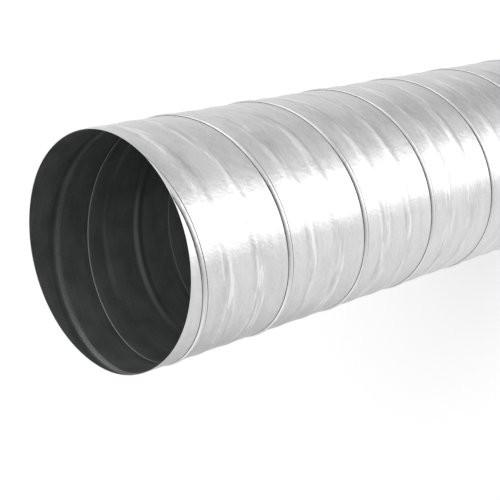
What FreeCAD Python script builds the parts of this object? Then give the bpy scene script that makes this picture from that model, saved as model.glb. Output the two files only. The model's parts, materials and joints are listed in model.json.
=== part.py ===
import FreeCAD, Part
import os
import Sketcher

# A length of spiral wound ventilation duct, standing on one end.
# A galvanised strip is wound into a right-hand helix, and its edges are hooked together and pressed flat
# outside the wall. The lock seam therefore stands out as a narrow ridge that climbs round the tube, with
# two low stiffening ribs rolled into the strip between its turns. Both ends are open and cut square.

DIMENSIONS = {
    "bore_diameter": 250.0,      # nominal size, inside the wall
    "wall_thickness": 0.5,       # one ply of the strip
    "duct_length": 1000.0,       # end to end
    "seam_pitch": 121.0,         # along the duct from one turn of the seam to the next
    "seam_entry_angle": 54.0,    # degrees round the top end, from +X towards -Y, to where the seam meets it
    "seam_width": 7.6,           # across the pressed seam at its foot
    "seam_rise": 1.6,            # height of the pressed plies above the wall
    "seam_overhang": 0.4,        # how far the folded edge leans out past its foot
    "corner_across": 3.0,        # how far the fold's worn corner reaches across the seam's face
    "corner_down": 1.2,          # how far that corner reaches down towards the wall
    "lip_run": 1.2,              # slope from the seam's face to the wall on its lower side
    "rib_width": 19.0,           # across a stiffening rib at its foot
    "rib_rise": 0.6,             # height of a rib's crest above the wall
    "first_rib_drop": 37.0,      # down the duct from the seam's folded edge to the first crest
    "second_rib_drop": 80.0,     # down the duct from the seam's folded edge to the second crest
}

NODE = "spiral_duct"
BORE_RADIUS = "sizes.bore_diameter / 2"
WALL_RADIUS = f"({BORE_RADIUS} + sizes.wall_thickness)"
SEAM_RADIUS = f"({WALL_RADIUS} + sizes.seam_rise)"
CREST_RADIUS = f"({WALL_RADIUS} + sizes.rib_rise)"

# Every wound section starts half a ply under the wall's face, so that it grows out of the wall.
ROOT_DEPTH = "(sizes.wall_thickness / 2)"
ROOT_RADIUS = f"({WALL_RADIUS} - {ROOT_DEPTH})"

# The seam is wound down from over a turn above the top end to below the floor. The ends are cut later.
LEAD_IN = "(sizes.seam_pitch * (1 + sizes.seam_entry_angle / 360))"
WOUND_LENGTH = f"(sizes.duct_length + {LEAD_IN} + sizes.seam_pitch / 2)"
OVERRUN = "(2 * sizes.seam_pitch)"


def add_sheet(doc):
    """Put the driving dimensions into a sheet, one named cell a row."""
    sheet = doc.addObject("Spreadsheet::Sheet", "sizes")
    for row, (name, value) in enumerate(DIMENSIONS.items(), start=1):
        sheet.set(f"A{row}", name)
        sheet.set(f"B{row}", str(value))
        sheet.setAlias(f"B{row}", name)
    doc.recompute()


def add_sketch(body, name, plane, shift_axis, shift):
    """Attach an empty sketch to one of the body's own planes, moved by an amount from the sheet."""
    planes = {item.Role: item for item in body.Origin.OriginFeatures}
    sketch = body.newObject("Sketcher::SketchObject", name)
    sketch.AttachmentSupport = (planes[plane], "")
    sketch.MapMode = "FlatFace"
    sketch.setExpression(f"AttachmentOffset.Base.{shift_axis}", shift)
    return sketch


def tie(sketch, label, expression, *constraint):
    """Add a named dimension to a sketch and bind it to the sheet."""
    number = sketch.addConstraint(Sketcher.Constraint(*constraint, 1.0))
    sketch.renameConstraint(number, label)
    sketch.setExpression(f"Constraints.{label}", expression)


def add_loop(sketch, corners):
    """Draw a closed loop of straight edges through corners given as (radius, height)."""
    first = sketch.GeometryCount
    count = len(corners)
    points = [FreeCAD.Vector(index, index * index, 0) for index in range(count)]
    for index in range(count):
        sketch.addGeometry(Part.LineSegment(points[index], points[(index + 1) % count]), False)
    for index, (radius, height) in enumerate(corners):
        edge = first + index
        following = first + (index + 1) % count
        sketch.addConstraint(Sketcher.Constraint("Coincident", edge, 2, following, 1))
        tie(sketch, f"radius_{edge}", radius, "DistanceX", -1, 1, edge, 1)
        tie(sketch, f"height_{edge}", height, "DistanceY", -1, 1, edge, 1)


def add_round(body, kind, name, diameter):
    """Extrude a circle about the duct's axis, from well below the floor to well above the top end."""
    sketch = add_sketch(body, f"{name}_circle", "XY_Plane", "z", f"-{OVERRUN}")
    sketch.addGeometry(Part.Circle(FreeCAD.Vector(0, 0, 0), FreeCAD.Vector(0, 0, 1), 1.0), False)
    sketch.addConstraint(Sketcher.Constraint("Coincident", 0, 3, -1, 1))
    tie(sketch, "diameter", diameter, "Diameter", 0)
    feature = body.newObject(f"PartDesign::{kind}", name)
    feature.Profile = sketch
    feature.setExpression("Length", f"sizes.duct_length + 2 * {OVERRUN}")
    return feature


def add_winding(body, name, corners):
    """Carry a section down the duct's right-hand helix and join it to the wall."""
    sketch = add_sketch(body, f"{name}_section", "XZ_Plane", "y", f"sizes.duct_length + {LEAD_IN}")
    add_loop(sketch, corners)
    feature = body.newObject("PartDesign::AdditiveHelix", name)
    feature.Profile = sketch
    feature.ReferenceAxis = (sketch, ["V_Axis"])
    feature.Mode = "pitch-height-angle"
    feature.LeftHanded = False
    feature.Reversed = True
    feature.setExpression("Pitch", "sizes.seam_pitch")
    feature.setExpression("Height", WOUND_LENGTH)


def seam_corners():
    """Section of the pressed seam: a fold that leans towards the top end, its corner, a flat face and
    a slope down to the wall on the lower side. Both sides run on to the root under the wall's face."""
    foot = f"sizes.seam_overhang * (1 + {ROOT_DEPTH} / (sizes.seam_rise - sizes.corner_down))"
    lower_foot = f"sizes.seam_width + sizes.lip_run * {ROOT_DEPTH} / sizes.seam_rise"
    return [
        (ROOT_RADIUS, f"-({foot})"),
        (f"{SEAM_RADIUS} - sizes.corner_down", "0"),
        (SEAM_RADIUS, "-sizes.corner_across"),
        (SEAM_RADIUS, "-(sizes.seam_width - sizes.lip_run)"),
        (ROOT_RADIUS, f"-({lower_foot})"),
    ]


def rib_corners(drop):
    """Section of a rib: two even slopes from the crest, which run on to the root under the wall's face."""
    half_base = f"sizes.rib_width / 2 * (1 + {ROOT_DEPTH} / sizes.rib_rise)"
    return [
        (ROOT_RADIUS, f"-{drop} - {half_base}"),
        (CREST_RADIUS, f"-{drop}"),
        (ROOT_RADIUS, f"-{drop} + {half_base}"),
    ]


def end_corners(low, high):
    """Section of the ring that is cut away past an end of the duct."""
    inner = f"{BORE_RADIUS} / 2"
    outer = f"{SEAM_RADIUS} + sizes.seam_width"
    return [(inner, low), (outer, low), (outer, high), (inner, high)]


def cut_ends(body):
    """Turn a ring about the axis past each end and take it away, which leaves both ends square."""
    floor = f"2 * {OVERRUN}"
    top = f"{floor} + sizes.duct_length"
    sketch = add_sketch(body, "end_section", "XZ_Plane", "y", f"-{floor}")
    add_loop(sketch, end_corners("sizes.seam_width", floor))
    add_loop(sketch, end_corners(top, f"{top} + 2 * {OVERRUN}"))
    feature = body.newObject("PartDesign::Groove", "square_ends")
    feature.Profile = sketch
    feature.ReferenceAxis = (sketch, ["V_Axis"])
    feature.Angle = 360


def build_duct(doc):
    """Wind the seam and ribs on a round bar as wide as the wall, cut its ends square and bore it out."""
    body = doc.addObject("PartDesign::Body", NODE)
    add_round(body, "Pad", "wall", f"2 * {WALL_RADIUS}")
    windings = {
        "lock_seam": seam_corners(),
        "first_rib": rib_corners("sizes.first_rib_drop"),
        "second_rib": rib_corners("sizes.second_rib_drop"),
    }
    for name, corners in windings.items():
        doc.recompute()
        add_winding(body, name, corners)
    doc.recompute()
    cut_ends(body)
    doc.recompute()
    bore = add_round(body, "Pocket", "bore", "sizes.bore_diameter")
    bore.Reversed = True
    doc.recompute()
    return body


def check(doc, body):
    """Stop if any feature failed, changed nothing, or left more than one sound solid."""
    for item in doc.Objects:
        if "Invalid" in item.State or "Error" in item.State:
            raise RuntimeError(f"{item.Name} failed: {item.State}")
    steps = [item for item in body.Group if item.isDerivedFrom("PartDesign::Feature")]
    for before, after in zip(steps, steps[1:]):
        removes = after.TypeId in ("PartDesign::Groove", "PartDesign::Pocket")
        gain = after.Shape.Volume - before.Shape.Volume
        if gain == 0 or (gain < 0) != removes:
            raise RuntimeError(f"{after.Name} did not change the duct as it should")
    shape = body.Shape
    if shape.isNull() or not shape.isValid() or len(shape.Solids) != 1:
        raise RuntimeError("the duct is not one sound solid")


def main():
    doc = FreeCAD.newDocument("spiral_duct_section")
    add_sheet(doc)
    duct = build_duct(doc)
    check(doc, duct)
    os.makedirs("parts", exist_ok=True)
    duct.Shape.exportStep(f"parts/{duct.Label}.step")


main()
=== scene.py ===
import json
from math import pi, radians

import bmesh
import bpy
import numpy as np
from mathutils import Matrix, Vector


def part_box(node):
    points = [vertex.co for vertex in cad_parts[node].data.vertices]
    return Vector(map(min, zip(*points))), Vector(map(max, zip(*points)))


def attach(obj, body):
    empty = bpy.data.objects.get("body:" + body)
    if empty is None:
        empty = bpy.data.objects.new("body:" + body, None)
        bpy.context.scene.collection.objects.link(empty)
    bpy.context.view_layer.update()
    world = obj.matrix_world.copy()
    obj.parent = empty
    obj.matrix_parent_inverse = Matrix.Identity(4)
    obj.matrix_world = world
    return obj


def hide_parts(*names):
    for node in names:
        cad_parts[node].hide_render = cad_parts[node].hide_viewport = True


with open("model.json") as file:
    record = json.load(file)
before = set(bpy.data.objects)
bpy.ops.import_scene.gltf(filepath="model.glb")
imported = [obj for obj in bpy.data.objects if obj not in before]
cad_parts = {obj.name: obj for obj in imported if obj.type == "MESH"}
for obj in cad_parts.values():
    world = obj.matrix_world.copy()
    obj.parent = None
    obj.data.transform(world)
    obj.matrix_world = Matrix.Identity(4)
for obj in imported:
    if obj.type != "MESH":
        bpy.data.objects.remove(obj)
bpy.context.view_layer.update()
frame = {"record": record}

bl_info = {
    "name": "Spiral Duct Section",
    "version": (1, 0, 0),
    "blender": (4, 5, 0),
    "location": "3D View > Sidebar > Duct",
    "description": "Winds a galvanised spiral duct with its lock seam and ribs, and sets its studio stage",
    "category": "Object",
}

NODE = "spiral_duct"
SKIN = "spiral_duct_skin"
OUTSIDE = 0
INSIDE = 1
STRIP_MAP = "strip"
BAKE_MAP = "OFBake"
TENT_LEVEL = "tent_level"
MM = 0.001
FULL_TURN = 2 * pi
WHITE = (1.0, 1.0, 1.0, 1.0)

NODE_LOW, NODE_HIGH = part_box(NODE)
DUCT_LENGTH = NODE_HIGH.z - NODE_LOW.z
DUCT_MIDDLE = (0.0, 0.0, DUCT_LENGTH / 2)
BORE_RADIUS = frame["record"]["mounts"][0]["dims"]["r_mm"] * MM

# Fine forms of the wound strip, by the drop below the seam's fold
LEDGE_DROP = 0.58 * MM
DIP_PLACES = np.array([-0.5, -0.2, 0.0]) * MM
DIP_SHARES = np.array([0.0, 0.4, 1.0])
INNER_LINE = 7.9 * MM
GROOVE_DROPS = INNER_LINE + np.array([-1.1, -0.5, 0.0, 0.5, 1.1]) * MM
GROOVE_DEPTHS = np.array([0.0, 0.16, 0.25, 0.16, 0.0]) * MM

# Where a face is sampled between its ribs, as shares of the pitch, and the samples across one rib
OUTER_FLATS = np.array([0.17, 0.53, 0.88])
INNER_FLATS = np.array([0.15, 0.53, 0.90])
OUTER_RIB_SAMPLES = 9
INNER_RIB_SAMPLES = 7

# Joining of the skin's sheets
MERGE_GAP = 0.002 * MM
LEAST_EDGE = 0.001 * MM
SHARP_ANGLE = radians(50.0)

# Layout of the bake map, as shares of its square
FACE_WIDTH = 0.48
FACE_HEIGHT = 0.92
FACE_FOOT = 0.04
OUTER_LEFT = 0.01
INNER_LEFT = 0.51
RIM_LEFT = 0.01
RIM_WIDTH = 0.98
RIM_HEIGHT = 0.008
TOP_RIM_ROW = 0.98
LOW_RIM_ROW = 0.012

# Lines along the strip, in millimetres: middle below a stated place, half width of the core, and of the edge
# Painted shade in the seam's shut fold
CREASE_SHADE_LINE = (0.04, 0.05, 0.17)
# Painted shadow along the seam's lower foot
FOOT_SHADE_LINE = (0.05, 0.30, 0.75)
# A near-white matt line along the seam's inner edge
WHITE_LINE = (0.0, 0.34, 0.64)
NEAR_SHADE_LINE = (-1.0, 1.0, 4.5)
DEEP_SHADE_LINE = (5.0, 1.0, 4.5)
# Lines of rubbing with painted light on the ribs' backs
UPPER_FIRST_LINE = (-3.5, 1.5, 6.0)
UPPER_SECOND_LINE = (-2.5, 1.5, 5.0)
LOWER_SECOND_LINE = (6.6, 1.4, 5.0)

# Stretches over which the inner finish changes, in metres along the strip from +X on turn 0
NEAR_FADE = (-0.40, -0.24)
NEAR_END = (-0.05, 0.10)
DEEP_START = (0.38, 0.52)
WHITE_LINE_FADE = (0.65, 1.10)

# Size of the light tent, and the elevations over which one part of it goes over into the next
TENT_RADIUS = 11.0
TENT_COLUMNS = 181
TENT_ROWS = 90
TENT_TOP = radians(89.0)
UNDERFOOT_EDGE = (radians(-76.0), radians(-54.0))
STRIPS_EDGE = (radians(-30.0), radians(-18.0))
HORIZON_EDGE = (0.0, radians(8.0))

# The tent above the horizon: edges of its sides, as cosines of the bearing and as sines of the elevation
LIT_EDGE = (0.68, 0.98)
DARK_EDGE = (0.62, 0.88)
DARK_RISE = (0.12, 0.40)

# The tent's low part, with its elevation counted in steps up from its middle
LOW_MIDDLE = radians(-50.0)
LOW_STEP = radians(22.0)
LOW_REACH = 0.8                 # steps up and down at which the count stops
LOW_LEVEL = 0.99                # level where nothing is added or taken away
LEAST_LEVEL = 0.1               # level that it never falls below
BAND_EDGE = 0.57                # soft edge of the bright band, as a share of its half width
DIM_FALL = 0.5                  # how much the dim part deepens with each step down
DIM_RANGE = (0.4, 1.4)          # least and most of that
BELT_EDGE = (-0.2, -0.05)       # steps down over which the narrow belt sets in
SHADED_STEPS = (-0.15, 0.35)    # steps between which the shaded side changes
SHADE_SLOPE = 0.30              # part of the shade that deepens evenly
SHADE_MIDDLE = 0.55             # share of the shade at the middle
SHADE_GAIN = 0.8                # what that share gains with each step up
GLOW_MIDDLE = 0.20              # glow of the shaded side at the middle
GLOW_RUN = 0.35                 # radians past the shade's start over which the glow sets in
BACK_EDGE = (0.15, 0.65)        # radians past the shade's end over which the shaded side ends
STEP_FALL = 0.11                # doublings by which the level falls with each step up

FLOOR_HALF = 12.0
SENSOR_WIDTH = 36.0
CLIP_START = 0.01


# Sizes and colours that a user would change

def length_prop(name, description, default):
    """A length in metres, shown to a tenth of a millimetre."""
    return bpy.props.FloatProperty(
        name=name, description=description, default=default, unit="LENGTH", precision=4)


def colour_prop(name, description, default):
    """A linear colour."""
    return bpy.props.FloatVectorProperty(
        name=name, description=description, default=default, subtype="COLOR", min=0.0, max=1.0)


def factor_prop(name, description, default, top=1.0):
    """A plain number from 0 to top."""
    return bpy.props.FloatProperty(name=name, description=description, default=default, min=0.0, max=top)


def angle_prop(name, description, degrees):
    """An angle, given in degrees."""
    return bpy.props.FloatProperty(
        name=name, description=description, default=radians(degrees), subtype="ANGLE")


def bearing_prop(name, what, degrees):
    """A bearing round the duct's axis, given in degrees, to what the words say."""
    return angle_prop(name, f"Angle from +X towards -Y to {what}", degrees)


def place_prop(name, description, default):
    """A point in metres."""
    return bpy.props.FloatVectorProperty(
        name=name, description=description, default=default, subtype="XYZ", unit="LENGTH", precision=4)


class DuctSizes(bpy.types.PropertyGroup):
    """Sizes of the duct's wall, seam and ribs."""

    bore_radius: length_prop("Bore radius", "Inside radius of the wall", BORE_RADIUS)
    wall: length_prop("Wall", "One ply of the strip", 0.5 * MM)
    duct_length: length_prop("Length", "From the lower end to the top end", DUCT_LENGTH)
    pitch: length_prop("Seam pitch", "Along the duct from one turn of the seam to the next", 121.0 * MM)
    entry: bearing_prop("Seam entry", "where the seam meets the top end", 54.0)
    seam_width: length_prop("Seam width", "Across the pressed seam at its foot", 7.6 * MM)
    seam_rise: length_prop("Seam rise", "Height of the pressed plies above the wall", 1.6 * MM)
    rib_width: length_prop("Rib width", "Across a stiffening rib at its foot", 19.0 * MM)
    rib_rise: length_prop("Rib rise", "Height of a rib's crest above the wall", 0.6 * MM)
    first_rib: length_prop("First rib", "Down from the seam's fold to the first crest", 37.0 * MM)
    second_rib: length_prop("Second rib", "Down from the seam's fold to the second crest", 80.0 * MM)
    columns: bpy.props.IntProperty(
        name="Columns", description="Grid columns round the duct", default=168, min=24, max=240)


class ZincFinish(bpy.types.PropertyGroup):
    """Colours and gloss of the galvanised strip."""

    bright: colour_prop("Bright zinc", "Colour of the brighter rolling streaks", (0.695, 0.695, 0.695))
    dull: colour_prop("Dull zinc", "Colour of the duller rolling streaks", (0.595, 0.595, 0.595))
    # Rubbing marks on the ribs, brightened into streaks of painted highlight
    rubbed_highlight: colour_prop("Rubbed zinc", "Colour of the rubbed streaks on the ribs", (0.79, 0.79, 0.79))
    # Scuffs on the ribs, darkened into streaks of painted shade
    scuffed_shade: colour_prop("Scuffed zinc", "Colour of the dull streaks on the ribs", (0.555, 0.555, 0.555))
    # Painted shade in the seam's shut fold
    crease: colour_prop("Crease", "Colour in the shut fold of the seam", (0.03, 0.03, 0.03))
    # Painted shadow along the seam's lower foot
    foot: colour_prop("Seam foot", "Colour along the lower foot of the seam", (0.07, 0.07, 0.07))
    inside: colour_prop("Inside", "Colour of the dull inner face", (0.325, 0.338, 0.333))
    inside_dark: colour_prop("Inside streaks", "Darker streaks of the inner face", (0.22, 0.23, 0.226))
    inside_shade: colour_prop("Inside shade", "Darker flanks of the ribs' backs", (0.13, 0.135, 0.132))
    # Rubbing on the ribs' backs, together with painted light on their flanks
    inside_rub_and_light: colour_prop("Inside rib backs", "Rubbed flanks of the ribs' backs", (0.68, 0.69, 0.69))
    # A near-white matt line along the seam's inner edge
    inside_line: colour_prop("Inside seam line", "Bare metal along the seam's inner edge", (0.92, 0.92, 0.92))
    gloss: factor_prop("Roughness", "Mean roughness of the outer face", 0.30)
    inside_gloss: factor_prop("Inside roughness", "Mean roughness of the inner face", 0.42)


class StudioStage(bpy.types.PropertyGroup):
    """Floor, lamp, light tent and camera."""

    floor_colour: colour_prop("Floor", "Colour of the pale floor", (0.9, 0.9, 0.9))
    floor_lift: factor_prop("Floor lift", "White that the floor adds to the light it takes", 0.62)
    sky: factor_prop("Sky", "Strength of the soft light from all round", 0.17)
    key_power: factor_prop("Key lamp", "Strength of the large far lamp", 1.0, 20.0)
    key_spread: angle_prop("Key spread", "Angle across the large far lamp as the duct sees it", 28.0)
    key_place: place_prop("Key place", "Point that the large far lamp shines from", (1.33, -1.33, 4.03))
    dark_side: factor_prop("Dark side", "Level of the tent's unlit side above the horizon", 0.15)
    dark_bearing: bearing_prop("Dark bearing", "the middle of the unlit side", 91.0)
    lit_side: factor_prop("Lit side", "Level of the tent's lit side above the horizon", 1.5, 20.0)
    lit_bearing: bearing_prop("Lit bearing", "the middle of the lit side", -8.0)
    side_level: factor_prop("Side level", "Level of the tent just below the horizon", 0.70)
    side_strips: factor_prop("Side strips", "How much brighter the tent's two upright strips are", 0.75)
    band_strength: factor_prop("Bright band", "Level of the bright band low on the tent", 2.3, 20.0)
    band_bearing: bearing_prop("Bright bearing", "the middle of the bright band", 70.0)
    band_half: angle_prop("Bright half width", "From that middle to where the band fades out", 33.6)
    dim_depth: factor_prop("Dim part", "How much weaker the tent's dim part is", 0.26)
    dim_bearing: bearing_prop("Dim bearing", "the middle of the tent's dim part", -9.0)
    dim_spread: angle_prop("Dim spread", "Angle over which the dim part fades out", 38.0)
    belt_depth: factor_prop("Belt", "How much weaker the narrow belt in the dim part is", 0.13)
    belt_bearing: bearing_prop("Belt bearing", "the middle of the narrow belt", -7.0)
    belt_spread: angle_prop("Belt spread", "Angle over which the narrow belt fades out", 13.0)
    shade_start: bearing_prop("Shade start", "where the tent's shaded side starts", 95.0)
    shade_end: bearing_prop("Shade end", "where the shaded side is deepest", 212.0)
    shade_depth: factor_prop("Shade depth", "How much weaker the tent is where it is deepest in shade", 0.32)
    glow: factor_prop("Glow", "How much the shaded side brightens with each step down the tent", 0.18)
    tent_skew: angle_prop("Tent skew", "Turn of the low pattern with each step up the tent", 6.0)
    lens: bpy.props.FloatProperty(
        name="Lens", description="Focal length in millimetres", default=91.64, unit="CAMERA")
    camera_place: place_prop("Camera place", "Where the camera stands", (0.35044, -0.95349, 1.77851))
    camera_aim: place_prop("Camera aim", "Point that the camera looks at", (0.00373, -0.10469, 0.89980))
    camera_up: bpy.props.FloatVectorProperty(
        name="Camera up", description="Direction that is up in the picture",
        default=(0.96202, 0.18969, -0.19636), subtype="XYZ", precision=4)


# Shapes

def seam_profile(sizes):
    """Heights of the pressed seam over the wall, by the drop below its folded edge.
    A low ledge stands up from a narrow crease, a broad worn corner rounds over to the seam's face,
    and the lower side slopes back to the wall. Returned as drops and heights of a broken line."""
    ledge = LEDGE_DROP + np.array([-0.25, 0.0, 0.06]) * MM
    corner = np.array([1.05, 1.75, 2.55, 3.35, 4.15, 5.20]) * MM
    drops = np.concatenate([[0.0], ledge, corner])
    heights = np.array([-0.015, -0.05, -0.07, 0.14, 0.40, 0.66, 0.85, 0.95, 0.985, 1.0])
    lip_drops = sizes.seam_width + np.array([-2.00, -1.50, -1.05, -0.65, -0.25, 0.30]) * MM
    lip_heights = np.array([0.98, 0.84, 0.50, 0.18, 0.04, 0.0])
    return np.concatenate([drops, lip_drops]), np.concatenate([heights, lip_heights]) * sizes.seam_rise


def rib_height(sizes, drop):
    """Height of the two ribs: a squared cosine of the distance from each crest, zero past half a width."""
    total = np.zeros_like(drop)
    for crest in (sizes.first_rib, sizes.second_rib):
        share = np.clip((drop - crest) / sizes.rib_width, -0.5, 0.5)
        total += sizes.rib_rise * np.cos(pi * share) ** 2
    return total


def outer_radius(sizes, drop):
    """Outer radius by the drop below the seam's fold: wall radius plus seam height plus rib height,
    with a slight dip towards the crease of the next turn."""
    drops, heights = seam_profile(sizes)
    places = np.concatenate([drops, sizes.pitch + DIP_PLACES])
    seam = np.interp(drop, places, np.concatenate([heights, DIP_SHARES * heights[0]]))
    return sizes.bore_radius + sizes.wall + seam + rib_height(sizes, drop)


def inner_radius(sizes, drop):
    """Inner radius by the drop below the seam's fold: bore radius plus the hollow backs of the ribs
    plus a shallow groove where the strip's edges turn outwards into the seam."""
    return sizes.bore_radius + np.interp(drop, GROOVE_DROPS, GROOVE_DEPTHS) + rib_height(sizes, drop)


def stations(sizes, own, rib_samples):
    """Drops at which a face of the strip is sampled: its own fine places, even steps across both ribs,
    and the strip's edges."""
    across = np.linspace(-0.5, 0.5, rib_samples) * sizes.rib_width
    ribs = [crest + across for crest in (sizes.first_rib, sizes.second_rib)]
    return np.unique(np.round(np.concatenate([[0.0, sizes.pitch], own, *ribs]), 7))


def outer_stations(sizes):
    """Drops for the outer face."""
    seam = seam_profile(sizes)[0]
    own = np.concatenate([seam, sizes.pitch + DIP_PLACES, OUTER_FLATS * sizes.pitch])
    return stations(sizes, own, OUTER_RIB_SAMPLES)


def inner_stations(sizes):
    """Drops for the inner face."""
    own = np.concatenate([GROOVE_DROPS, INNER_FLATS * sizes.pitch])
    return stations(sizes, own, INNER_RIB_SAMPLES)


def column_angles(sizes):
    """Angles round the duct, from +X towards -Y, in even steps, with one more at each end of the duct
    where a fold meets the cut edge, so that the edge breaks there and nowhere else."""
    even = np.linspace(0.0, FULL_TURN, sizes.columns + 1)
    meets = (sizes.entry + FULL_TURN * np.array([0.0, sizes.duct_length / sizes.pitch])) % FULL_TURN
    return np.unique(np.round(np.concatenate([even, meets]), 9))


def strip_grid(sizes, drops, radius_of):
    """Points of one face of the wound strip on a grid of turns, columns and drops.
    The fold of turn k stands at length + pitch * (entry - angle) / full turn - k * pitch, and each point
    hangs its drop below that. Heights are held between the two ends, and the radius is read at the held
    place, so that the ends come out square and show the strip's true section.
    Gives points, the map along and across the strip in metres, and the angle and height of each point."""
    top_turn = -1
    turns = np.arange(top_turn, int(np.ceil(sizes.duct_length / sizes.pitch)) + 1)
    turn, angle, drop = np.meshgrid(turns, column_angles(sizes), drops, indexing="ij")
    fold = sizes.duct_length + sizes.pitch * ((sizes.entry - angle) / FULL_TURN - turn)
    height = np.clip(fold - drop, 0.0, sizes.duct_length)
    held = np.clip(fold - height, 0.0, sizes.pitch)
    radius = radius_of(sizes, held)
    points = np.stack([radius * np.cos(angle), -radius * np.sin(angle), height], -1)
    along = (angle + FULL_TURN * turn) * sizes.bore_radius
    return points, np.stack([along, held], -1), angle, height


def grid_faces(shape):
    """Corner numbers of the four-sided faces of a grid, or of a stack of grids, in the order that makes
    them face outwards."""
    number = np.arange(int(np.prod(shape))).reshape(shape)
    near = number[..., :-1, :]
    far = number[..., 1:, :]
    return np.stack([near[..., :-1], far[..., :-1], far[..., 1:], near[..., 1:]], -1).reshape(-1, 4)


def face_sheet(sizes, drops, radius_of, left, inwards):
    """One face of the duct as points, faces, strip map and bake map. Faces that the ends press flat are
    left out. The bake map lays the face out flat, its angle across nearly half of the square from left
    and its height up the square."""
    points, strip, angle, height = strip_grid(sizes, drops, radius_of)
    faces = grid_faces(angle.shape)
    faces = faces[np.ptp(height.reshape(-1)[faces], axis=1) > MERGE_GAP]
    if inwards:
        faces = faces[:, ::-1]
    rightwards = left + FACE_WIDTH * angle / FULL_TURN
    upwards = FACE_FOOT + FACE_HEIGHT * height / sizes.duct_length
    bake = np.stack([rightwards, upwards], -1)
    return points.reshape(-1, 3), faces, strip.reshape(-1, 2), bake.reshape(-1, 2)


def rim_sheet(sizes, height, bake_row, upwards):
    """The flat cut edge at one end: a ring between the outer and the inner radius at that height."""
    angle = column_angles(sizes)[:, None]
    fold = sizes.duct_length + sizes.pitch * (sizes.entry - angle) / FULL_TURN
    drop = np.mod(fold - height, sizes.pitch)
    radius = np.concatenate([outer_radius(sizes, drop), inner_radius(sizes, drop)], 1)
    ring = np.stack([radius * np.cos(angle), -radius * np.sin(angle), np.full_like(radius, height)], -1)
    faces = grid_faces(radius.shape)
    if upwards:
        faces = faces[:, ::-1]
    along = np.broadcast_to(angle * sizes.bore_radius, radius.shape)
    strip = np.stack([along, np.full_like(radius, sizes.pitch / 2)], -1)
    rightwards = RIM_LEFT + RIM_WIDTH * angle / FULL_TURN
    bake = np.stack(np.broadcast_arrays(rightwards, bake_row + np.array([0.0, RIM_HEIGHT])), -1)
    return ring.reshape(-1, 3), faces, strip.reshape(-1, 2), bake.reshape(-1, 2)


def check_closed(mesh):
    """Stops unless every edge has two faces, by how often the corners of faces name each edge."""
    named = np.zeros(len(mesh.loops), np.int32)
    mesh.loops.foreach_get("edge_index", named)
    open_edges = np.count_nonzero(np.bincount(named, minlength=len(mesh.edges)) != 2)
    if open_edges:
        raise RuntimeError(f"the duct's wall has {open_edges} open edges")


def join_sheets(name, sheets, materials):
    """Puts sheets into one mesh, each with its own material number. Points that no face uses are left out,
    both maps are written, the seams between the sheets are closed, and it is shaded smooth up to sharp
    edges."""
    points, faces, strip, bake = zip(*sheets)
    starts = np.cumsum([0] + [len(part) for part in points])
    numbered = np.concatenate([part + start for part, start in zip(faces, starts)])
    used, corners = np.unique(numbered.reshape(-1), return_inverse=True)
    wearing = np.concatenate([np.full(len(part), number) for part, number in zip(faces, materials)])
    mesh = bpy.data.meshes.new(name)
    mesh.from_pydata(np.concatenate(points)[used], [], corners.reshape(-1, 4))
    mesh.polygons.foreach_set("material_index", wearing.astype(np.int32))
    for layer_name, parts in ((STRIP_MAP, strip), (BAKE_MAP, bake)):
        layer = mesh.uv_layers.new(name=layer_name)
        places = np.concatenate(parts)[used][corners]
        layer.uv.foreach_set("vector", places.astype(np.float32).reshape(-1))
    work = bmesh.new()
    work.from_mesh(mesh)
    bmesh.ops.remove_doubles(work, verts=work.verts, dist=MERGE_GAP)
    bmesh.ops.dissolve_degenerate(work, edges=work.edges, dist=LEAST_EDGE)
    work.to_mesh(mesh)
    work.free()
    check_closed(mesh)
    mesh.shade_smooth()
    mesh.set_sharp_from_angle(angle=SHARP_ANGLE)
    return mesh


# Materials

class Shade:
    """A socket of a node tree, with the operators that shader maths uses."""

    def __init__(self, finish, socket):
        self.finish = finish
        self.socket = socket

    def math(self, operation, *values):
        """A Math node with an operation on values."""
        return self.finish.node("ShaderNodeMath", {"operation": operation}, dict(enumerate(values)))

    def __add__(self, other):
        return self.math("ADD", self, other)

    def __radd__(self, other):
        return self.math("ADD", other, self)

    def __sub__(self, other):
        return self.math("SUBTRACT", self, other)

    def __rsub__(self, other):
        return self.math("SUBTRACT", other, self)

    def __mul__(self, other):
        return self.math("MULTIPLY", self, other)

    def __rmul__(self, other):
        return self.math("MULTIPLY", other, self)

    def __abs__(self):
        return self.math("ABSOLUTE", self)

    def larger(self, other):
        return self.math("MAXIMUM", self, other)

    def smaller(self, other):
        return self.math("MINIMUM", self, other)

    def smooth(self, low, high):
        """0 below low, 1 above high, with a soft step between."""
        settings = {"interpolation_type": "SMOOTHSTEP", "clamp": True}
        inputs = {"Value": self, "From Min": low, "From Max": high}
        return self.finish.node("ShaderNodeMapRange", settings, inputs)

    def output(self, name):
        """Another output of the same node."""
        return Shade(self.finish, self.socket.node.outputs[name])


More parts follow.
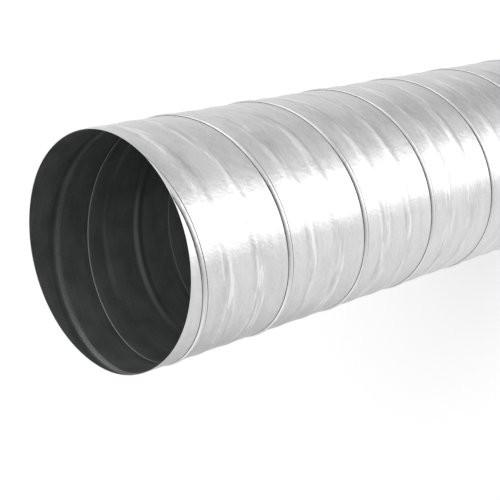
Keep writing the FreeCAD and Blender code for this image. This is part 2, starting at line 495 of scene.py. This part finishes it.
class Finish:
    """The nodes of a material or of a world, added one at a time."""

    def __init__(self, holder):
        holder.use_nodes = True
        self.holder = holder
        self.tree = holder.node_tree
        self.tree.nodes.clear()

    def node(self, kind, settings=None, inputs=None, output=0):
        """Adds a node, sets its settings, then the values or links of its sockets, and gives one output
        if it has any."""
        made = self.tree.nodes.new(kind)
        for name, value in (settings or {}).items():
            setattr(made, name, value)
        for name, value in (inputs or {}).items():
            socket = made.inputs[name] if isinstance(name, int) else self.socket_named(made, name)
            if isinstance(value, Shade):
                self.tree.links.new(value.socket, socket)
            else:
                socket.default_value = value
        return Shade(self, made.outputs[output]) if made.outputs else None

    @staticmethod
    def socket_named(made, name):
        """Finds an input by its identifier, or else by its name."""
        for socket in made.inputs:
            if socket.identifier == name:
                return socket
        return made.inputs[name]

    def mix_colour(self, share, first, second):
        """A colour between two, by share. The node's third output is the one for colours."""
        inputs = {"Factor_Float": share, "A_Color": first, "B_Color": second}
        return self.node("ShaderNodeMix", {"data_type": "RGBA"}, inputs, output=2)

    def strip_places(self):
        """Along and across the strip in metres."""
        mapped = self.node("ShaderNodeUVMap", {"uv_map": STRIP_MAP})
        parts = self.node("ShaderNodeSeparateXYZ", None, {0: mapped})
        return parts.output("X"), parts.output("Y")

    def cells(self, strip, fineness):
        """Places on the strip counted in cells, by the cells to a metre along and across it."""
        along, across = strip
        return self.node("ShaderNodeCombineXYZ", None, {0: along * fineness[0], 1: across * fineness[1]})

    def noise(self, strip, fineness, detail, rough):
        """Soft noise from 0 to 1, with its own fineness along and across the strip."""
        inputs = {"Vector": self.cells(strip, fineness), "Scale": 1.0, "Detail": detail, "Roughness": rough}
        return self.node("ShaderNodeTexNoise", {"noise_dimensions": "2D"}, inputs)

    def spangle(self, strip, fineness):
        """A level from 0 to 1 for each crystal of the zinc, which is a cell about a random point."""
        settings = {"voronoi_dimensions": "2D", "feature": "F1"}
        inputs = {"Vector": self.cells(strip, fineness), "Scale": 1.0}
        crystals = self.node("ShaderNodeTexVoronoi", settings, inputs, output="Color")
        return self.node("ShaderNodeSeparateXYZ", None, {0: crystals})

    def seen(self):
        """1 for what the camera sees, in gloss and through glass too, and 0 for light on other surfaces."""
        path = self.node("ShaderNodeLightPath")
        mirrored = path.output("Is Glossy Ray").larger(path.output("Is Transmission Ray"))
        return path.output("Is Camera Ray").larger(mirrored)

    def close_metal(self, colour, metallic, rough, relief, strength, depth):
        """Ends a metal: colour, share of metal, roughness, and a relief that is bumped up by a depth."""
        bump = {"Strength": strength, "Distance": depth, "Height": relief}
        normal = self.node("ShaderNodeBump", None, bump)
        inputs = {"Base Color": colour, "Metallic": metallic, "Roughness": rough, "Normal": normal}
        return self.close(self.node("ShaderNodeBsdfPrincipled", None, inputs))

    def close(self, surface, kind="ShaderNodeOutputMaterial"):
        """Sends a shader to the surface, and gives the material or world back."""
        self.node(kind, None, {"Surface": surface})
        return self.holder


def rgba(colour):
    """A colour property as the four numbers of a socket."""
    return (*colour, 1.0)


def line_mask(across, place, line):
    """1 on the core of a line along the strip, 0 past its edge, by the line's numbers below a place."""
    middle, core, edge = (value * MM for value in line)
    return 1.0 - abs(across - (place + middle)).smooth(core, edge)


def zinc_outside(sizes, zinc):
    """Bright rolled zinc: streaks along the strip, a faint spangle, rubbing marks on the ribs with painted
    highlight and painted shade, and painted shade in the shut fold and along the seam's foot."""
    finish = Finish(bpy.data.materials.new("galvanised_outside"))
    strip = finish.strip_places()
    across = strip[1]
    fine = finish.noise(strip, (9.0, 700.0), detail=3.0, rough=0.6)
    broad = finish.noise(strip, (5.0, 110.0), detail=2.0, rough=0.55)
    cloud = finish.noise(strip, (15.0, 26.0), detail=4.0, rough=0.62)
    speck = finish.noise(strip, (420.0, 520.0), detail=2.0, rough=0.6)
    rolled = finish.noise(strip, (20.0, 160.0), detail=3.0, rough=0.55)
    mottle = finish.noise(strip, (130.0, 150.0), detail=3.0, rough=0.6)
    tone = finish.spangle(strip, (150.0, 190.0))
    streak = fine * 0.2 + broad * 0.3 + cloud * 0.5
    share = (streak + (tone - 0.5) * 0.12 + (speck - 0.5) * 0.15).smooth(0.32, 0.68)
    plain = finish.mix_colour(share, rgba(zinc.dull), rgba(zinc.bright))
    from_crest = abs(across - sizes.first_rib).smaller(abs(across - sizes.second_rib))
    on_rib = 1.0 - from_crest.smooth(sizes.rib_width * 0.3, sizes.rib_width * 0.6)
    # Streaks on the ribs: rubbing marks with painted highlight, and scuffs with painted shade
    rubbed_highlight = finish.mix_colour(rolled.smooth(0.53, 0.63) * on_rib, plain, rgba(zinc.rubbed_highlight))
    body = finish.mix_colour((1.0 - rolled.smooth(0.36, 0.46)) * on_rib, rubbed_highlight, rgba(zinc.scuffed_shade))
    # Painted shadow along the seam's lower foot
    foot = line_mask(across, sizes.seam_width, FOOT_SHADE_LINE)
    # Painted shade in the seam's shut fold, also made matt and not metal
    shut = line_mask(across, LEDGE_DROP, CREASE_SHADE_LINE)
    lined = finish.mix_colour(foot, body, rgba(zinc.foot))
    colour = finish.mix_colour(shut, lined, rgba(zinc.crease))
    rough = zinc.gloss + (streak - 0.5) * 0.22 + (tone - 0.5) * 0.05 + shut * 0.4
    relief = fine * 0.10 + speck * 0.30 + mottle * 0.8 + rolled * on_rib * 0.3
    return finish.close_metal(colour, 1.0 - shut, rough, relief, strength=0.7, depth=0.5 * MM)


def zinc_inside(sizes, zinc):
    """Dull inner face of the strip: grey with a fine grain, one flank of each rib's hollow back made bright
    with rubbing and painted light and the other one given painted shade, and a near-white matt line along the
    seam that fades further down. Near the top end it is the second rib's lower flank that is bright, and
    further down the upper flank of both ribs."""
    finish = Finish(bpy.data.materials.new("galvanised_inside"))
    strip = finish.strip_places()
    along, across = strip
    fine = finish.noise(strip, (9.0, 500.0), detail=3.0, rough=0.6)
    cloud = finish.noise(strip, (30.0, 40.0), detail=3.0, rough=0.6)
    speck = finish.noise(strip, (520.0, 560.0), detail=2.0, rough=0.6)
    patchy = finish.noise(strip, (7.0, 60.0), detail=2.0, rough=0.5).smooth(0.30, 0.66)
    share = (fine * 0.25 + cloud * 0.35 + speck * 0.4).smooth(0.35, 0.65)
    plain = finish.mix_colour(share, rgba(zinc.inside_dark), rgba(zinc.inside))
    near = 1.0 - along.smooth(*NEAR_END)
    deep = along.smooth(*DEEP_START)
    # Painted shade on the flank of each rib's back that faces away from the light
    near_shade = line_mask(across, sizes.second_rib, NEAR_SHADE_LINE) * near
    deep_shade = line_mask(across, sizes.second_rib, DEEP_SHADE_LINE) * deep
    dull = finish.mix_colour(near_shade * 0.45 + deep_shade * 0.7, plain, rgba(zinc.inside_shade))
    # Painted light with rubbing on the ribs' backs: near the top end on the second rib's lower flank, further
    # down on the upper flanks of both ribs
    upper_first = line_mask(across, sizes.first_rib, UPPER_FIRST_LINE)
    upper_second = line_mask(across, sizes.second_rib, UPPER_SECOND_LINE)
    lower_second = line_mask(across, sizes.second_rib, LOWER_SECOND_LINE)
    fading = 1.0 - along.smooth(*NEAR_FADE) * 0.76
    grain = 0.2 + fine * 0.7 + speck.smooth(0.3, 0.7) * 0.9
    near_lit_rub = lower_second * near * fading * grain
    deep_lit_rub = (upper_first * 0.28 + upper_second * 0.5) * deep * patchy
    rub_and_light = near_lit_rub + deep_lit_rub
    backs = finish.mix_colour(rub_and_light, dull, rgba(zinc.inside_rub_and_light))
    # A near-white matt line along the seam's inner edge, fading further down
    white_line = line_mask(across, INNER_LINE, WHITE_LINE) * (1.0 - along.smooth(*WHITE_LINE_FADE) * 0.6)
    colour = finish.mix_colour(white_line, backs, rgba(zinc.inside_line))
    metallic = 0.6 - rub_and_light * 0.4 - white_line * 0.6
    rough = zinc.inside_gloss + (cloud - 0.5) * 0.2
    relief = fine * 0.5 + speck * 0.5
    return finish.close_metal(colour, metallic, rough, relief, strength=0.3, depth=0.1 * MM)


def floor_finish(stage):
    """Pale matt floor that looks white to the camera and still takes the shadow."""
    finish = Finish(bpy.data.materials.new("pale_floor"))
    matt = finish.node("ShaderNodeBsdfDiffuse", None, {"Color": rgba(stage.floor_colour)})
    strength = finish.seen() * stage.floor_lift
    lift = finish.node("ShaderNodeEmission", None, {"Color": WHITE, "Strength": strength})
    return finish.close(finish.node("ShaderNodeAddShader", None, {0: matt, 1: lift}))


def tent_finish():
    """Cloth of the light tent, whose light comes from the level stored on its points."""
    finish = Finish(bpy.data.materials.new("light_tent"))
    level = finish.node("ShaderNodeAttribute", {"attribute_name": TENT_LEVEL}, output="Fac")
    return finish.close(finish.node("ShaderNodeEmission", None, {"Strength": level}))


# Light tent

def soft_step(value, low, high):
    """0 below low, 1 above high, with a soft step between."""
    share = np.clip((value - low) / (high - low), 0.0, 1.0)
    return share * share * (3.0 - 2.0 * share)


def wrapped(angle):
    """An angle brought within half a turn of zero."""
    return (angle + pi) % FULL_TURN - pi


def bell(angle, middle, spread):
    """A bell over an angle: e to minus the square of the way from its middle over its spread."""
    return np.exp(-(wrapped(angle - middle) / spread) ** 2)


def blend(first, second, share):
    """First where share is 0, second where it is 1, and evenly between."""
    return first + (second - first) * share


def band_gain(stage, turned):
    """What the bright band adds: a plateau about its bearing with soft edges, gone past its half width."""
    away = np.abs(wrapped(turned - stage.band_bearing)) / stage.band_half
    return (stage.band_strength - 1.0) * soft_step(1.0 - away, 0.0, BAND_EDGE)


def dim_loss(stage, bearing, turned, step):
    """What the dim part takes away: a broad bell that deepens with each step down, and a narrow one that
    sets in just above the middle of the low part."""
    broad = bell(turned, stage.dim_bearing, stage.dim_spread) * np.clip(1.0 - DIM_FALL * step, *DIM_RANGE)
    narrow = bell(bearing, stage.belt_bearing, stage.belt_spread) * soft_step(-step, *BELT_EDGE)
    return stage.dim_depth * broad + stage.belt_depth * narrow


def shaded_gain(stage, turned, step):
    """What the shaded side adds: a glow that sets in at its start and grows with each step down, less a
    shade that deepens evenly, and with the fourth power of the way from its start to its end, and that
    weakens with each step down. Both are gone a little past its end."""
    bearing = turned % FULL_TURN
    share = np.clip((bearing - stage.shade_start) / (stage.shade_end - stage.shade_start), 0.0, 1.0)
    shade = (SHADE_SLOPE * share + stage.shade_depth * share ** 4) * (SHADE_MIDDLE + SHADE_GAIN * step)
    sets_in = soft_step(bearing, stage.shade_start, stage.shade_start + GLOW_RUN)
    glow = sets_in * (GLOW_MIDDLE - stage.glow * step)
    past_end = soft_step(bearing - stage.shade_end, *BACK_EDGE)
    return (glow - shade) * (1.0 - past_end)


def low_level(stage, bearing, elevation):
    """Level of the tent well below the horizon: close to 1, plus the bright band and the shaded side, less
    the dim part. Steps are counted up from the middle of this part. Its pattern turns by the skew with
    each step, and its level falls by a fixed share of a doubling with each step."""
    step = np.clip((elevation - LOW_MIDDLE) / LOW_STEP, -LOW_REACH, LOW_REACH)
    near_step = np.clip(step, *SHADED_STEPS)
    turned = bearing + stage.tent_skew * step
    level = LOW_LEVEL + band_gain(stage, turned) - dim_loss(stage, bearing, turned, step)
    level += shaded_gain(stage, turned, near_step)
    return np.maximum(level, LEAST_LEVEL) * 2.0 ** (-STEP_FALL * near_step)


def high_level(stage, bearing, elevation):
    """Level of the tent above the horizon: 1, with a lit side, and an unlit side that sets in a little
    higher up."""
    lit = soft_step(np.cos(bearing - stage.lit_bearing), *LIT_EDGE)
    unlit = soft_step(np.cos(bearing - stage.dark_bearing), *DARK_EDGE)
    unlit *= soft_step(np.sin(elevation), *DARK_RISE)
    return blend(1.0, stage.lit_side, lit) * blend(1.0, stage.dark_side, unlit)


def tent_sheet(stage):
    """A sphere about the middle of the duct, on a grid of bearing and elevation. Its level goes over softly
    from the plain side level underfoot to the low pattern, from that to two upright strips just below the
    horizon, a fourth power of the cosine of the bearing from the lit side, and from those to the pattern
    above the horizon."""
    columns = np.linspace(-pi, pi, TENT_COLUMNS)
    rows = np.linspace(-TENT_TOP, TENT_TOP, TENT_ROWS)
    bearing, elevation = np.meshgrid(columns, rows, indexing="ij")
    low = low_level(stage, bearing, elevation)
    side = stage.side_level + stage.side_strips * np.cos(bearing - stage.lit_bearing) ** 4
    high = high_level(stage, bearing, elevation)
    level = blend(stage.side_level, low, soft_step(elevation, *UNDERFOOT_EDGE))
    level = blend(level, side, soft_step(elevation, *STRIPS_EDGE))
    level = blend(level, high, soft_step(elevation, *HORIZON_EDGE))
    reach = TENT_RADIUS * np.cos(elevation)
    height = DUCT_LENGTH / 2 + TENT_RADIUS * np.sin(elevation)
    points = np.stack([reach * np.cos(bearing), -reach * np.sin(bearing), height], -1)
    return points.reshape(-1, 3), grid_faces(bearing.shape), level.reshape(-1)


# Stage

def add_object(context, name, data):
    """A new object in the scene, with its mesh, lamp or camera."""
    made = bpy.data.objects.new(name, data)
    context.scene.collection.objects.link(made)
    return made


def stage_mesh(name, points, faces, material):
    """A mesh of the stage, in one material."""
    mesh = bpy.data.meshes.new(name)
    mesh.from_pydata(points, [], faces)
    mesh.materials.append(material)
    return mesh


def aimed(place, aim, upwards):
    """The matrix of a lamp or camera that stands at a place and looks at a point, with a direction that
    is up for it."""
    back = (Vector(place) - Vector(aim)).normalized()
    right = Vector(upwards).cross(back).normalized()
    turn = Matrix((right, back.cross(right), back)).transposed().to_4x4()
    return Matrix.Translation(place) @ turn


def add_floor(context, stage):
    """The pale floor. Gloss shows the tent in its place."""
    corners = np.array([[-1.0, -1.0, 0.0], [1.0, -1.0, 0.0], [1.0, 1.0, 0.0], [-1.0, 1.0, 0.0]]) * FLOOR_HALF
    floor = add_object(context, "floor", stage_mesh("floor", corners, [[0, 1, 2, 3]], floor_finish(stage)))
    floor.visible_glossy = False


def add_tent(context, stage):
    """The light tent, which shows only in gloss."""
    points, faces, level = tent_sheet(stage)
    mesh = stage_mesh("light_tent", points, faces, tent_finish())
    mesh.attributes.new(TENT_LEVEL, "FLOAT", "POINT").data.foreach_set("value", level.astype(np.float32))
    tent = add_object(context, "light_tent", mesh)
    tent.visible_camera = False
    tent.visible_diffuse = False
    tent.visible_shadow = False


def set_world(context, stage):
    """Soft even light from all round, which shows as white behind the duct."""
    finish = Finish(bpy.data.worlds.new("studio"))
    seen = finish.seen()
    strength = seen + (1.0 - seen) * stage.sky
    light = finish.node("ShaderNodeBackground", None, {"Color": WHITE, "Strength": strength})
    context.scene.world = finish.close(light, "ShaderNodeOutputWorld")


def add_key(context, stage):
    """The large soft lamp, far enough away to light the floor evenly. It doesn't show to the camera or
    in gloss."""
    data = bpy.data.lights.new("key", "SUN")
    data.angle = stage.key_spread
    data.energy = stage.key_power
    lamp = add_object(context, "key", data)
    lamp.matrix_world = aimed(stage.key_place, DUCT_MIDDLE, (0.0, 0.0, 1.0))
    lamp.visible_camera = False
    lamp.visible_glossy = False


def add_camera(context, stage):
    """The camera, from its place, its aim and the direction that is up in the picture."""
    data = bpy.data.cameras.new("camera")
    data.lens = stage.lens
    data.sensor_width = SENSOR_WIDTH
    data.clip_start = CLIP_START
    camera = add_object(context, "camera", data)
    camera.matrix_world = aimed(stage.camera_place, stage.camera_aim, stage.camera_up)
    context.scene.camera = camera


# Operators and panel

class DUCT_OT_wind_skin(bpy.types.Operator):
    """Wind the duct's wall, lock seam and ribs as one closed skin"""

    bl_idname = "spiral_duct.wind_skin"
    bl_label = "Wind duct"

    def execute(self, context):
        sizes = context.scene.duct_sizes
        zinc = context.scene.zinc_finish
        outside = zinc_outside(sizes, zinc)
        inside = zinc_inside(sizes, zinc)
        sheets = [
            face_sheet(sizes, outer_stations(sizes), outer_radius, OUTER_LEFT, inwards=False),
            face_sheet(sizes, inner_stations(sizes), inner_radius, INNER_LEFT, inwards=True),
            rim_sheet(sizes, sizes.duct_length, TOP_RIM_ROW, upwards=True),
            rim_sheet(sizes, 0.0, LOW_RIM_ROW, upwards=False),
        ]
        mesh = join_sheets(SKIN, sheets, (OUTSIDE, INSIDE, OUTSIDE, OUTSIDE))
        mesh.materials.append(outside)
        mesh.materials.append(inside)
        skin = add_object(context, SKIN, mesh)
        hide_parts(NODE)
        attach(skin, "root")
        return {"FINISHED"}


class DUCT_OT_set_stage(bpy.types.Operator):
    """Lay the floor, put up the light tent, hang the lamp and place the camera"""

    bl_idname = "spiral_duct.set_stage"
    bl_label = "Set stage"

    def execute(self, context):
        stage = context.scene.studio_stage
        add_floor(context, stage)
        add_tent(context, stage)
        set_world(context, stage)
        add_key(context, stage)
        add_camera(context, stage)
        context.scene.view_settings.view_transform = "Standard"
        return {"FINISHED"}


class DUCT_PT_panel(bpy.types.Panel):
    """Sidebar panel with the duct's operators and settings"""

    bl_idname = "DUCT_PT_panel"
    bl_label = "Spiral duct"
    bl_space_type = "VIEW_3D"
    bl_region_type = "UI"
    bl_category = "Duct"

    def draw(self, context):
        scene = context.scene
        parts = (
            (DUCT_OT_wind_skin, (scene.duct_sizes, scene.zinc_finish)),
            (DUCT_OT_set_stage, (scene.studio_stage,)),
        )
        for operator, groups in parts:
            column = self.layout.column()
            column.operator(operator.bl_idname)
            for group in groups:
                for name in group.__annotations__:
                    column.prop(group, name)


CLASSES = (DuctSizes, ZincFinish, StudioStage, DUCT_OT_wind_skin, DUCT_OT_set_stage, DUCT_PT_panel)
GROUPS = {"duct_sizes": DuctSizes, "zinc_finish": ZincFinish, "studio_stage": StudioStage}


def register():
    for cls in CLASSES:
        bpy.utils.register_class(cls)
    for name, group in GROUPS.items():
        setattr(bpy.types.Scene, name, bpy.props.PointerProperty(type=group))


def unregister():
    for name in GROUPS:
        delattr(bpy.types.Scene, name)
    for cls in reversed(CLASSES):
        bpy.utils.unregister_class(cls)


def main():
    register()
    bpy.ops.spiral_duct.wind_skin()
    bpy.ops.spiral_duct.set_stage()


if __name__ == "__main__":
    main()
